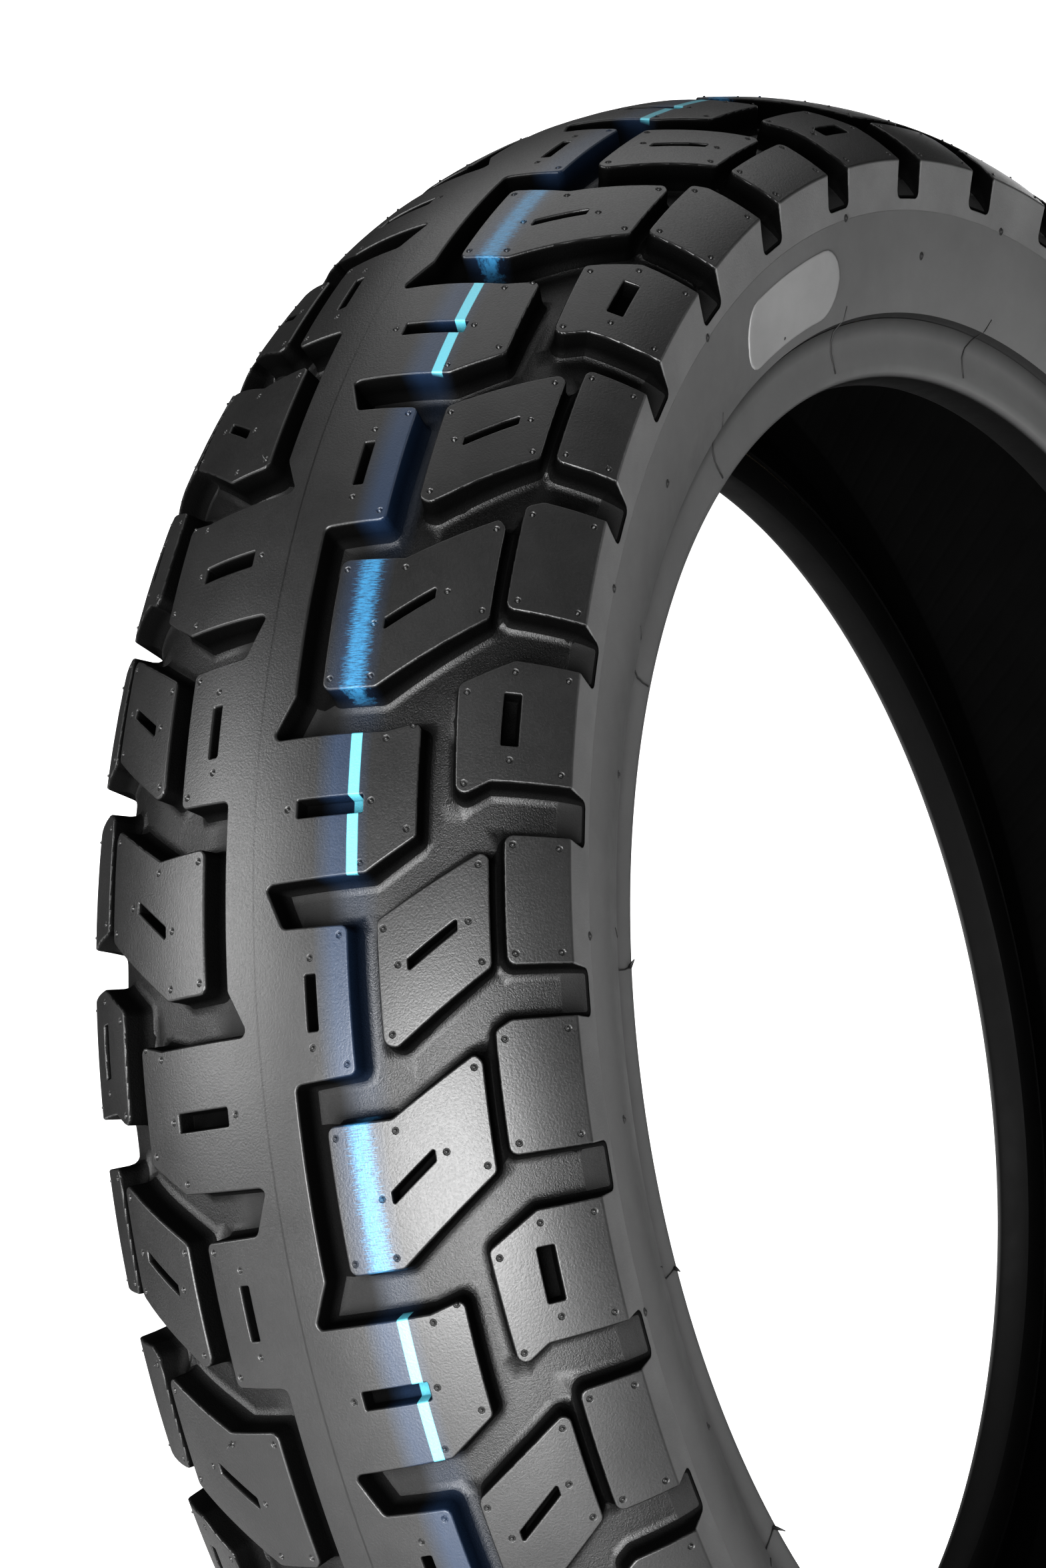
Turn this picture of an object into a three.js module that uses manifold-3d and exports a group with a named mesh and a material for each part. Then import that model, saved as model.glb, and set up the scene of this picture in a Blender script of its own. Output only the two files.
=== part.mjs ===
// A bias-belted tubeless rear tyre for a 17 inch motorcycle rim, with an all-terrain block tread.
// Millimetres. The origin is the wheel's centre, the tyre spins about +Y, and +Z is up.
// Half-sections are drawn with y >= 0 as [y, radius] points and mirrored for the other side.
import * as THREE from "three";
import { mergeVertices } from "three/addons/utils/BufferGeometryUtils.js";
import Module from "manifold-3d";

const wasm = await Module();
wasm.setup();

// ---- Driving dimensions ----
const OUTER_RADIUS = 321;
const SEGMENTS = 30; // flats round the layers under the tread
const GAP = 0.3; // air between neighbouring layers

// Crown: a wide arc, then a tighter arc out to the shoulder edge. Arc lengths start at the equator.
const CROWN_RADIUS = 125;
const CROWN_ARC = 57;
const SHOULDER_RADIUS = 82;
const SHOULDER_EDGE = 92.8;

const CAP_THICKNESS = 14.5;
const BASE_THICKNESS = 1.5;
const BELT_THICKNESS = 1;
const PLY_THICKNESS = 0.9;
const LINER_THICKNESS = 1.2;

const CENTRE_GROOVE_DEPTH = 10.5;
const SHOULDER_GROOVE_DEPTH = 9.5;
const SIPE_DEPTH = 5;

// ---- Tread pattern ----
// Points are [u, t]: arc length from the equator in mm, and angle round the tyre in degrees. They are for
// the near half, y < 0. The far half is its mirror image, shifted half a period round.
const PERIOD = 30;
const PATTERN_START = PERIOD / 2;

// Stations below the shoulder edge, where u only names a ring: the foot of the shoulder blocks, a ring
// inside the joint with the sidewall, and the middle of the wheel.
const FOOT = 104;
const HEM = 110;
const HUB = 200;
const LOWER_RINGS = new Map([[FOOT, [79.4, 272.9]], [HEM, [78.4, 268]], [HUB, [78.4, 0]]]);

// The edge of the centre rib with the two blocks that grow out of it, upwards round one period.
const RIB_EDGE = [
  [4.8, -22.84], [10.5, -20.8], [10.5, -10.95],
  [29.4, -10.75], [29.4, -3.22], [9.4, -3.1],
  [4.2, -0.98], [5.6, -0.74], [35, -0.64], [49.7, 1.1], [49.7, 7.3], [39.4, 6.82], [5.9, 6.82],
];
const CENTRE_LINE = [0, 1, 2, 3, 4].map((step) => [0, (step - 3) * (PERIOD / 4)]);
const GROOVE_CUT = [[35, -21.9], [71, -17.4], [FOOT, -17.4]]; // where one period's floor meets the next

// Outlines run anticlockwise, with u to the right and t upwards.
const ISLANDS = [
  [[38.3, -9.45], [42, -9.7], [70.1, -5.94], [70.1, -0.1], [67.8, 0.17], [38.3, -3.16]],
  [[18.8, -20.7], [35, -20.7], [65.5, -16.6], [65.5, -10.9], [63.5, -10.4], [38.3, -13.2], [18.8, -13.2]],
];
const SHOULDER_BLOCKS = [
  [[74.4, -8.8], [69.7, -9.3], [69.7, -15.9]],
  [[74.4, 1.15], [74.4, -5.9]],
  [[74.4, 11.1], [59.2, 9.44], [60.5, 3.05], [70, 4.08]],
];
const RIB_SIPES = [
  [[13.7, 2.5], [34.1, 2.5], [34.1, 3.5], [13.7, 3.5]],
  [[15.9, -8.4], [19.4, -8.4], [19.4, -5.5], [15.9, -5.5]],
];
const ISLAND_SIPES = [
  [[46.6, -5.9], [61, -3.95], [61, -3.3], [46.6, -5.25]],
  [[35.2, -17.5], [49.2, -15.6], [49.2, -14.9], [35.2, -16.8]],
];
const SHOULDER_SIPES = [null, null, [[72.2, 6.1], [77.4, 6.1], [77.4, 9.15], [72.2, 9.15]]];

// ---- Section geometry ----
// The point at arc length u from the equator, at a depth below the tread surface, as [y, radius].
function crown(u, depth = 0) {
  const bend = CROWN_ARC / CROWN_RADIUS;
  const centreRadius = OUTER_RADIUS - CROWN_RADIUS;
  if (u <= CROWN_ARC) {
    const angle = u / CROWN_RADIUS;
    const r = CROWN_RADIUS - depth;
    return [r * Math.sin(angle), centreRadius + r * Math.cos(angle)];
  }
  const step = CROWN_RADIUS - SHOULDER_RADIUS;
  const angle = bend + (u - CROWN_ARC) / SHOULDER_RADIUS;
  const r = SHOULDER_RADIUS - depth;
  return [
    step * Math.sin(bend) + r * Math.sin(angle),
    centreRadius + step * Math.cos(bend) + r * Math.cos(angle),
  ];
}

const crownCurve = (stations, depth) => stations.map((u) => crown(u, depth));

const mirrored = (points) => points.map(([y, r]) => [-y, r]).reverse();

// A closed outline made of an outer line and an inner line, both drawn from the equator outwards.
const bothSides = (outer, inner) => {
  const back = inner.toReversed();
  return [...mirrored(outer), ...outer, ...back, ...mirrored(back)];
};

// A polyline moved sideways to the right of its direction, with mitred corners.
function offset(path, distance) {
  const right = path.slice(1).map(([y, r], i) => {
    const direction = new THREE.Vector2(y - path[i][0], r - path[i][1]).normalize();
    return new THREE.Vector2(direction.y, -direction.x);
  });
  return path.map(([y, r], i) => {
    const a = right[Math.max(i - 1, 0)];
    const b = right[Math.min(i, right.length - 1)];
    const scale = distance / (1 + a.dot(b));
    return [y + (a.x + b.x) * scale, r + (a.y + b.y) * scale];
  });
}

// ---- Solids ----
function solidOf(geometry) {
  const bare = geometry.clone();
  bare.deleteAttribute("normal");
  bare.deleteAttribute("uv");
  const merged = mergeVertices(bare, 1e-3);
  return new wasm.Manifold(
    new wasm.Mesh({
      numProp: 3,
      vertProperties: merged.attributes.position.array,
      triVerts: new Uint32Array(merged.index.array),
    }),
  );
}

function geometryOf(solid) {
  const mesh = solid.getMesh();
  const geometry = new THREE.BufferGeometry();
  geometry.setAttribute("position", new THREE.BufferAttribute(mesh.vertProperties, 3));
  geometry.setIndex(new THREE.BufferAttribute(mesh.triVerts, 1));
  return geometry;
}

// A closed outline turned round the Y axis. The outline's radii are reached in the middle of each flat.
function ring(outline) {
  const area = outline.reduce((sum, [y, r], i) => {
    const [nextY, nextR] = outline[(i + 1) % outline.length];
    return sum + y * nextR - nextY * r;
  }, 0);
  const turned = area > 0 ? outline.toReversed() : outline;
  const corner = 1 / Math.cos(Math.PI / SEGMENTS);
  const points = [...turned, turned[0]].map(([y, r]) => new THREE.Vector2(r * corner, y));
  return new THREE.LatheGeometry(points, SEGMENTS, Math.PI / SEGMENTS);
}

// ---- Tread surface ----
// Triangles of [u, t, depth] corners for one period of the near half.
const triangles = [];
const top = () => 0;
const floor = (u) =>
  THREE.MathUtils.mapLinear(
    THREE.MathUtils.clamp(u, 36, 60), 36, 60, CENTRE_GROOVE_DEPTH, SHOULDER_GROOVE_DEPTH,
  );

// A polygon laid over the crown at a depth. Angles count as lengths at the tread radius.
function fill(outline, holes, depth) {
  const lengthPerDegree = THREE.MathUtils.degToRad(OUTER_RADIUS);
  const flat = (points) => points.map(([u, t]) => new THREE.Vector2(u, t * lengthPerDegree));
  const corners = [outline, ...holes].flat();
  const faces = THREE.ShapeUtils.triangulateShape(flat(outline), holes.map(flat));
  for (const face of faces) {
    const points = face.map((i) => corners[i]);
    const ordered = THREE.ShapeUtils.area(flat(points)) > 0 ? points : points.toReversed();
    triangles.push(ordered.map(([u, t]) => [u, t, depth(u)]));
  }
}

// The walls along a chain, with the raised ground on the left as the chain runs.
function wall(chain, upper, lower) {
  for (let i = 0; i < chain.length - 1; i++) {
    const [[ua, ta], [ub, tb]] = [chain[i], chain[i + 1]];
    if (ub !== FOOT) triangles.push([[ua, ta, lower(ua)], [ub, tb, lower(ub)], [ub, tb, upper(ub)]]);
    if (ua !== FOOT) triangles.push([[ua, ta, lower(ua)], [ub, tb, upper(ub)], [ua, ta, upper(ua)]]);
  }
}

const closed = (outline) => [...outline, outline[0]];
const nextPeriod = ([u, t]) => [u, t + PERIOD];

function pocket(outline) {
  fill(outline, [], () => SIPE_DEPTH);
  wall(closed(outline).reverse(), top, () => SIPE_DEPTH);
}

function rib() {
  const edge = [...RIB_EDGE, nextPeriod(RIB_EDGE[0])];
  fill([...edge, ...CENTRE_LINE.toReversed()], RIB_SIPES, top);
  wall(edge, top, floor);
  RIB_SIPES.forEach(pocket);
}

function islands() {
  ISLANDS.forEach((outline, i) => {
    fill(outline, [ISLAND_SIPES[i]], top);
    wall(closed(outline), top, floor);
    pocket(ISLAND_SIPES[i]);
  });
}

// The inner outline of a shoulder block, carried over the shoulder edge and down to its foot at both ends.
function shoulderChain(block) {
  const high = block[0][1];
  const low = block.at(-1)[1];
  return [[FOOT, high], [SHOULDER_EDGE, high], ...block, [SHOULDER_EDGE, low], [FOOT, low]];
}

function shoulderBlocks() {
  SHOULDER_BLOCKS.forEach((block, i) => {
    const chain = shoulderChain(block);
    const sipe = SHOULDER_SIPES[i];
    fill(chain.slice(1, -1), sipe ? [sipe] : [], top);
    fill([chain.at(-2), chain.at(-1), chain[0], chain[1]], [], top);
    wall(chain, top, floor);
    if (sipe) pocket(sipe);
  });
}

function grooveFloor() {
  const blocks = SHOULDER_BLOCKS.flatMap((block) => shoulderChain(block).reverse());
  const below = [RIB_EDGE[0], ...GROOVE_CUT];
  const above = below.map(nextPeriod).reverse();
  fill([...below, ...blocks, ...above, ...RIB_EDGE.slice(1).reverse()], ISLANDS, floor);
}

// From the foot of the blocks down inside the sidewall joint, then closed to a point on the axis.
function flank() {
  const feet = SHOULDER_BLOCKS.flatMap((block) => [block.at(-1)[1], block[0][1]]);
  const angles = [GROOVE_CUT.at(-1)[1], ...feet, GROOVE_CUT.at(-1)[1] + PERIOD];
  for (let i = 0; i < angles.length - 1; i++) {
    const [low, high] = [angles[i], angles[i + 1]];
    fill([[FOOT, low], [HEM, low], [HEM, high], [FOOT, high]], [], top);
    triangles.push([[HEM, low, 0], [HUB, 0, 0], [HEM, high, 0]]);
  }
}

// A drum with the tread on its outside.
function treadDrum() {
  rib();
  islands();
  shoulderBlocks();
  grooveFloor();
  flank();
  const place = ([u, t, depth], side, turn) => {
    const [y, r] = u > SHOULDER_EDGE ? LOWER_RINGS.get(u) : crown(u, depth);
    const angle = THREE.MathUtils.degToRad(t + turn);
    return [-r * Math.cos(angle), side * y, r * Math.sin(angle)];
  };
  const positions = [];
  for (let turn = PATTERN_START; turn < 360 + PATTERN_START; turn += PERIOD) {
    for (const triangle of triangles) {
      positions.push(triangle.map((corner) => place(corner, -1, turn)));
      positions.push(triangle.toReversed().map((corner) => place(corner, 1, turn + PERIOD / 2)));
    }
  }
  const geometry = new THREE.BufferGeometry();
  geometry.setAttribute("position", new THREE.Float32BufferAttribute(positions.flat(2), 3));
  return solidOf(geometry);
}

// ---- Layers under the tread, each as a depth below the tread surface ----
const BASE_TOP = CAP_THICKNESS + GAP;
const OUTER_BELT_TOP = BASE_TOP + BASE_THICKNESS + GAP;
const INNER_BELT_TOP = OUTER_BELT_TOP + BELT_THICKNESS + GAP;
const PLY_TOP = INNER_BELT_TOP + BELT_THICKNESS + GAP;
const MIDDLE_STATION = 30; // where the layers bend, between the equator and the belts' edge
const BELT_EDGE = 73;
const INNER_EDGE = 90; // where the plies leave the crown for the sidewall

// The line that the outer ply lies on: down outside the bead core, under it, and up the sidewall.
const BEAD_PATH = [[64, 244.6], [58.6, 231], [58.6, 224.3], [50, 224.3], [50, 230], [65.6, 256.5]];
const LINER_START = 4;
const halfPath = [...BEAD_PATH, ...crownCurve([INNER_EDGE, BELT_EDGE, MIDDLE_STATION], PLY_TOP)];
const bothPlies = 2 * PLY_THICKNESS + 2 * GAP;

// A sheet that follows a half path and its mirror image, below the path by a distance.
function layer(path, below, thickness) {
  const whole = [...path, ...mirrored(path)];
  return [...offset(whole, -below), ...offset(whole, -below - thickness).reverse()];
}

function crownSheet(top, thickness) {
  const stations = [MIDDLE_STATION, BELT_EDGE];
  return bothSides(crownCurve(stations, top), crownCurve(stations, top + thickness));
}

// The drum less everything inside the cap and below its joint with the sidewalls.
function treadCap() {
  const joint = 270.2;
  const underside = crownCurve([MIDDLE_STATION, BELT_EDGE, INNER_EDGE], CAP_THICKNESS);
  const inside = [...underside, [73, joint], [100, joint]];
  const core = solidOf(ring([...mirrored(inside), ...inside, [100, 0], [-100, 0]]));
  return geometryOf(treadDrum().subtract(core));
}

// ---- Parts that come in pairs, drawn for the far side ----
const beadCore = [[51.1, 225.4], [57.5, 225.4], [57.5, 231.4], [51.1, 231.4]];
const beadFiller = [[51.7, 231.7], [57.9, 231.7], [62.9, 243.6], [59, 244.6]];
const rimStrip = [
  [65.6, 237.5], [62.2, 232.5], [62.2, 221], [60.8, 219.6], [49.2, 218.4], [46.3, 221.4], [46.8, 229.5],
  [47.3, 229.5], [47.3, 221.6], [61.3, 221.6], [61.3, 231.5], [63.7, 237.5],
];
const sidewall = [
  [78.9, 269.9], [76.6, 257.5], [71.5, 243.5], [66.6, 238.2], [65.7, 237.8], [63.9, 237.8],
  [67.3, 246.4], [66.4, 257], [72.2, 269.9],
];
const beltEdgeStrip = [
  crown(BELT_EDGE + 1, BASE_TOP), crown(INNER_EDGE, BASE_TOP), [72.7, 270.2], [72.2, 270.2],
  crown(INNER_EDGE, PLY_TOP - GAP), crown(BELT_EDGE + 1, PLY_TOP - GAP),
];

// ---- Materials ----
const rubber = (color, roughness) => new THREE.MeshStandardMaterial({ color, roughness, metalness: 0 });
const TREAD_RUBBER = rubber(0x232426, 0.55);
const SIDE_RUBBER = rubber(0x2c2d2f, 0.62);
const INNER_RUBBER = rubber(0x1a1a1b, 0.7);
const CORD_FABRIC = rubber(0x8a7f6a, 0.85);
const BEAD_STEEL = new THREE.MeshStandardMaterial({ color: 0xa88a5a, roughness: 0.4, metalness: 1 });

// ---- Assembly ----
const tyre = new THREE.Group();
tyre.name = "motorcycle_tyre";

function add(name, geometry, material) {
  const mesh = new THREE.Mesh(geometry, material);
  mesh.name = name;
  tyre.add(mesh);
}

// The near side has y < 0.
function addPair(name, outline, material) {
  add(name + "_near", ring(mirrored(outline)), material);
  add(name + "_far", ring(outline), material);
}

add("tread_cap", treadCap(), TREAD_RUBBER);
add("tread_base", ring(crownSheet(BASE_TOP, BASE_THICKNESS)), INNER_RUBBER);
add("belt_outer", ring(crownSheet(OUTER_BELT_TOP, BELT_THICKNESS)), CORD_FABRIC);
add("belt_inner", ring(crownSheet(INNER_BELT_TOP, BELT_THICKNESS)), CORD_FABRIC);
add("carcass_ply_outer", ring(layer(halfPath, 0, PLY_THICKNESS)), CORD_FABRIC);
add("carcass_ply_inner", ring(layer(halfPath, PLY_THICKNESS + GAP, PLY_THICKNESS)), CORD_FABRIC);
add("inner_liner", ring(layer(halfPath.slice(LINER_START), bothPlies, LINER_THICKNESS)), INNER_RUBBER);
addPair("belt_edge_strip", beltEdgeStrip, INNER_RUBBER);
addPair("sidewall", sidewall, SIDE_RUBBER);
addPair("rim_strip", rimStrip, SIDE_RUBBER);
addPair("bead_core", beadCore, BEAD_STEEL);
addPair("bead_filler", beadFiller, INNER_RUBBER);

export default tyre;
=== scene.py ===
"""Looks of a motorcycle rear tyre with an all-terrain block tread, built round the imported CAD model.

Lengths are millimetres until a mesh is made, and metres after that. The wheel's centre is the origin,
the tyre spins about +Y, and the near side, the one the camera sees, has y < 0. Sections are drawn as
(y, radius) with y > 0, and mirrored where the near side needs them.
"""

import math

import bmesh
import bpy
import numpy as np
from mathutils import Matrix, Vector
from mathutils.geometry import delaunay_2d_cdt


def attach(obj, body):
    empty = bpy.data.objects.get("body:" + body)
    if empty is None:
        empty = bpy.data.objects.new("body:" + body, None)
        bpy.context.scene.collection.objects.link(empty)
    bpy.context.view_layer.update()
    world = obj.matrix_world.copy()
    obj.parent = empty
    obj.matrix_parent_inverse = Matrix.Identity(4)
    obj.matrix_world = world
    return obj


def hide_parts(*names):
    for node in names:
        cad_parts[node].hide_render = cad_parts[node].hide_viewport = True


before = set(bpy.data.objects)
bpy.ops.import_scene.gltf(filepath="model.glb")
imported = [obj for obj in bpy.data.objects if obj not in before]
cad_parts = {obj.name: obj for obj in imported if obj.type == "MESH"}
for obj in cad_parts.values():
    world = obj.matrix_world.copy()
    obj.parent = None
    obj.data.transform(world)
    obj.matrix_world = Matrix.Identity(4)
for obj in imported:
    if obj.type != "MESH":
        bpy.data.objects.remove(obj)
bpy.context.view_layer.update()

MM = 0.001

# ---- Driving dimensions ----
OUTER_RADIUS = 321.0
CROWN_RADIUS = 125.0
CROWN_ARC = 57.0  # arc length from the equator to where the crown starts to turn tighter
SHOULDER_RADIUS = 82.0
SHOULDER_EDGE = 92.8

CENTRE_DEPTH = 10.5
SHOULDER_DEPTH = 9.5
NARROW_DEPTH = 7.2
CAP_THICKNESS = 14.5

PERIOD = 30.0  # degrees round the tyre between repeats of the pattern
PERIODS = 12
PATTERN_START = 15.0  # degrees round the tyre where the pattern's own angle is zero
PATTERN_LOW = -22.0  # the pattern's angle where the mesh of one period begins
LENGTH_PER_DEGREE = 5.35  # mean length round the tread, for distances measured in the flat pattern
FLAT_PERIOD = PERIOD * LENGTH_PER_DEGREE

# ---- Tread pattern on the near half, as (arc length from the equator, degrees round the tyre) ----
RIB_EDGE = [
    (4.8, -22.84), (10.5, -20.8), (10.5, -10.95), (29.4, -10.75), (29.4, -3.22), (9.4, -3.1),
    (4.2, -0.98), (5.6, -0.74), (35.0, -0.64), (49.7, 1.1), (49.7, 7.3), (39.4, 6.82), (5.9, 6.82),
]
GROOVE_END = 105.5  # where the cross grooves run out, below the shoulder edge
SHOULDER_LINE = [
    (GROOVE_END, -15.9), (69.7, -15.9), (69.7, -9.3), (74.4, -8.8), (GROOVE_END, -8.8),
    (GROOVE_END, -5.9), (74.4, -5.9), (74.4, 1.15), (GROOVE_END, 1.15),
    (GROOVE_END, 4.08), (70.0, 4.08), (60.5, 3.05), (59.2, 9.44), (74.4, 11.1), (GROOVE_END, 11.1),
]
ISLANDS = [
    [(38.3, -9.45), (42.0, -9.7), (70.1, -5.94), (70.1, -0.1), (67.8, 0.17), (38.3, -3.16)],
    [(18.8, -20.7), (35.0, -20.7), (65.5, -16.6), (65.5, -10.9), (63.5, -10.4), (38.3, -13.2), (18.8, -13.2)],
]
NARROW_CUTS = [  # the shallower cuts: low and high arc length, low and high angle
    (69.5, 75.0, -5.9, 0.3),
    (65.0, 70.2, -16.2, -10.0),
]
SIPES = [
    [(13.7, 2.5), (34.1, 2.5), (34.1, 3.5), (13.7, 3.5)],
    [(15.9, -8.4), (19.4, -8.4), (19.4, -5.5), (15.9, -5.5)],
    [(46.6, -5.9), (61.0, -3.95), (61.0, -3.3), (46.6, -5.25)],
    [(35.2, -17.5), (49.2, -15.6), (49.2, -14.9), (35.2, -16.8)],
    [(72.2, 6.1), (77.4, 6.1), (77.4, 9.15), (72.2, 9.15)],
]
VENT_PIPS = [
    (47.4, 7.1), (39.8, 6.4), (10.8, 3.05), (36.4, 3.1), (46.9, 1.5), (33.6, -0.1),
    (27.1, -3.7), (17.9, -4.7), (17.1, -9.2), (27.1, -10.2),
    (40.1, -3.6), (67.1, -0.5), (64.1, -3.5), (43.9, -5.5), (67.4, -5.65), (41.0, -9.0),
    (76.7, 0.6), (89.8, 0.5), (76.8, -5.3), (89.9, -5.3),
    (21.1, -13.8), (38.9, -13.8), (52.4, -15.2), (63.1, -16.2), (62.9, -11.1), (32.2, -17.1),
    (20.9, -20.1), (33.4, -20.1),
    (72.1, -9.8), (90.0, -9.5), (72.6, -15.3), (90.1, -15.3),
    (74.7, 10.4), (90.1, 10.4), (61.8, 9.0), (75.0, 5.3), (89.8, 4.75), (62.6, 3.9),
]
RIB_CORNER = 2.0
SHOULDER_CORNER = 2.6
ISLAND_CORNER = 2.4
SIPE_CORNER = 0.5

# ---- Edges of the raised ground. Distances are measured outward from its outline ----
TOP_LEVELS = [-0.7, -0.5, -0.2]
EDGE_START = -0.5
EDGE_DROP = 0.55  # how far the rounded top edge comes down
WALL_START = 0.1
DRAFT = 0.07
FILLET = 3.6
FILLET_STEPS = [0.12, 0.35, 0.65, 1.0]

# Each profile is (distances, depths), where a negative depth is raised.
PIP_PROFILE = ([0.0, 0.26, 0.5, 0.64, 0.84, 1.0], [-0.45, -0.36, 0.0, 0.35, 0.3, 0.0])
PIP_RINGS = [0.26, 0.5, 0.64, 0.84, 1.0, 1.25]
SIPE_PROFILE = ([-0.9, -0.5, -0.12, 0.0, 0.2], [5.2, 4.9, 0.5, 0.15, 0.0])
SIPE_LEVELS = [0.4, 0.2, 0.0, -0.12, -0.5, -0.9]

# ---- Sections at the shoulder, as (arc length, (y, radius)). None means on the crown ----
BUTTRESS = [
    (92.4, None), (92.8, (82.9, 285.95)), (93.2, (82.95, 285.5)), (97.0, (81.9, 281.9)),
    (103.0, (80.3, 276.1)), (106.0, (79.5, 273.1)), (109.0, (78.8, 270.2)),
]
HEM = BUTTRESS[-1][0]  # the arc length at the cap's lower edge
GROOVE_FLOOR = [
    (84.0, None), (89.0, (72.9, 283.1)), (95.0, (75.7, 279.9)), (101.0, (78.3, 276.6)),
    (105.0, (79.72, 273.9)),
]
KEPT_LINES = (0.0, 92.1, 92.4, 92.8, 93.2, 93.5, HEM)  # arc lengths that must be mesh edges
ROWS_PER_PERIOD = 32


def crown(u, depth=0.0):
    """Points [y, radius] at arc length u from the equator, at a depth below the tread surface."""
    u = np.asarray(u, float)
    bend = CROWN_ARC / CROWN_RADIUS
    step = CROWN_RADIUS - SHOULDER_RADIUS
    outer = u > CROWN_ARC
    angle = np.where(outer, bend + (u - CROWN_ARC) / SHOULDER_RADIUS, u / CROWN_RADIUS)
    r = np.where(outer, SHOULDER_RADIUS, CROWN_RADIUS) - depth
    y = r * np.sin(angle) + np.where(outer, step * math.sin(bend), 0.0)
    z = r * np.cos(angle) + np.where(outer, step * math.cos(bend), 0.0) + OUTER_RADIUS - CROWN_RADIUS
    return np.stack([y, z], -1)


def smoothstep(x, low, high):
    t = np.clip((x - low) / (high - low), 0.0, 1.0)
    return t * t * (3.0 - 2.0 * t)


# ---- Outlines ----
def rounded(points, radius, closed=True, arc_step=0.45, spacing=None):
    """A polyline with its corners turned into arcs, and its long runs divided if a spacing is given."""
    points = [np.asarray(p, float) for p in points]
    count = len(points)
    result = []
    for i, point in enumerate(points):
        if not closed and i in (0, count - 1):
            result.append(point)
        else:
            result += corner_arc(points[i - 1], point, points[(i + 1) % count], radius, arc_step)
    return np.array(result) if spacing is None else divided(result, closed, spacing)


def corner_arc(before, point, after, radius, arc_step):
    """The points of one rounded corner, or the corner itself where the line hardly bends."""
    runs = np.array([before - point, after - point])
    lengths = np.linalg.norm(runs, axis=1)
    a, b = runs / lengths[:, None]
    half = 0.5 * math.acos(float(np.clip(a @ b, -1, 1)))
    turn = math.pi - 2 * half
    if turn < 0.05:
        return [point]
    cut = min(0.45 * min(lengths), radius / math.tan(half))
    r = cut * math.tan(half)
    middle = point + (a + b) / np.linalg.norm(a + b) * (r / math.sin(half))
    start = math.atan2(*(point + a * cut - middle)[::-1])
    end = math.atan2(*(point + b * cut - middle)[::-1])
    sweep = (end - start + math.pi) % (2 * math.pi) - math.pi
    steps = max(2, math.ceil(turn / arc_step))
    angles = [start + sweep * k / steps for k in range(steps + 1)]
    return [middle + r * np.array([math.cos(angle), math.sin(angle)]) for angle in angles]


def divided(line, closed, spacing):
    """The line with extra points, so that none of its runs is longer than the spacing."""
    dense = []
    ends = line[1:] + line[:1] if closed else line[1:]
    for a, b in zip(line, ends):
        parts = max(1, math.ceil(np.linalg.norm(b - a) / spacing))
        dense += [a + (b - a) * k / parts for k in range(parts)]
    if not closed:
        dense.append(line[-1])
    return np.array(dense)


def flat(points):
    """Pattern points with the angle turned into a length."""
    return [(u, t * LENGTH_PER_DEGREE) for u, t in points]


def repeated(outline):
    """The outline in its own period and in the two beside it."""
    return [outline + (0.0, k * FLAT_PERIOD) for k in (-1, 0, 1)]


def edge_band(chain, radius, far):
    """The raised ground beside a chain that repeats round the tyre, as a closed outline, and its edge."""
    run = [(u, v + k * FLAT_PERIOD) for k in (-2, -1, 0, 1, 2) for u, v in flat(chain)]
    line = rounded(run, radius, closed=False, spacing=5.0)
    return np.vstack([line, [far, line[-1][1]], [far, line[0][1]]]), line


def signed_distance(points, outlines):
    """Distance to the nearest outline, negative inside one of them."""
    best = np.full(len(points), np.inf)
    inside = np.zeros(len(points), bool)
    px, py = points[:, 0:1], points[:, 1:2]
    for outline in outlines:
        ax, ay = outline.T
        bx, by = np.roll(ax, -1), np.roll(ay, -1)
        dx, dy = bx - ax, by - ay
        along = np.clip(((px - ax) * dx + (py - ay) * dy) / (dx * dx + dy * dy + 1e-12), 0, 1)
        gap = np.hypot(px - ax - along * dx, py - ay - along * dy).min(1)
        crossing = ((ay > py) != (by > py)) & (px < dx * (py - ay) / (dy + 1e-30) + ax)
        inside |= crossing.sum(1) % 2 == 1
        best = np.minimum(best, gap)
    return np.where(inside, -best, best)


def offset_loop(line, distance):
    """The line moved sideways along its corner normals, to the right of its direction."""
    ahead = np.roll(line, -1, 0) - line
    ahead /= np.linalg.norm(ahead, axis=1, keepdims=True) + 1e-12
    right = np.stack([ahead[:, 1], -ahead[:, 0]], -1)
    normal = right + np.roll(right, 1, 0)
    normal /= np.linalg.norm(normal, axis=1, keepdims=True) + 1e-12
    spread = np.maximum(0.35, (normal * right).sum(1, keepdims=True))
    return line + normal * distance / spread


RIB_BAND, RIB_LINE = edge_band(RIB_EDGE, RIB_CORNER, -60.0)
SHOULDER_BAND, SHOULDER_RUN = edge_band(SHOULDER_LINE, SHOULDER_CORNER, 200.0)
ISLAND_LOOPS = [rounded(flat(points), ISLAND_CORNER, spacing=5.0) for points in ISLANDS]
SIPE_LOOPS = [rounded(flat(points), SIPE_CORNER, arc_step=0.8, spacing=6.0) for points in SIPES]
RAISED = [RIB_BAND, SHOULDER_BAND] + [loop for island in ISLAND_LOOPS for loop in repeated(island)]
ALL_SIPES = [loop for sipe in SIPE_LOOPS for loop in repeated(sipe)]
PIPS = np.array([(u, (t + k * PERIOD) * LENGTH_PER_DEGREE) for u, t in VENT_PIPS for k in (-1, 0, 1)])


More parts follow.
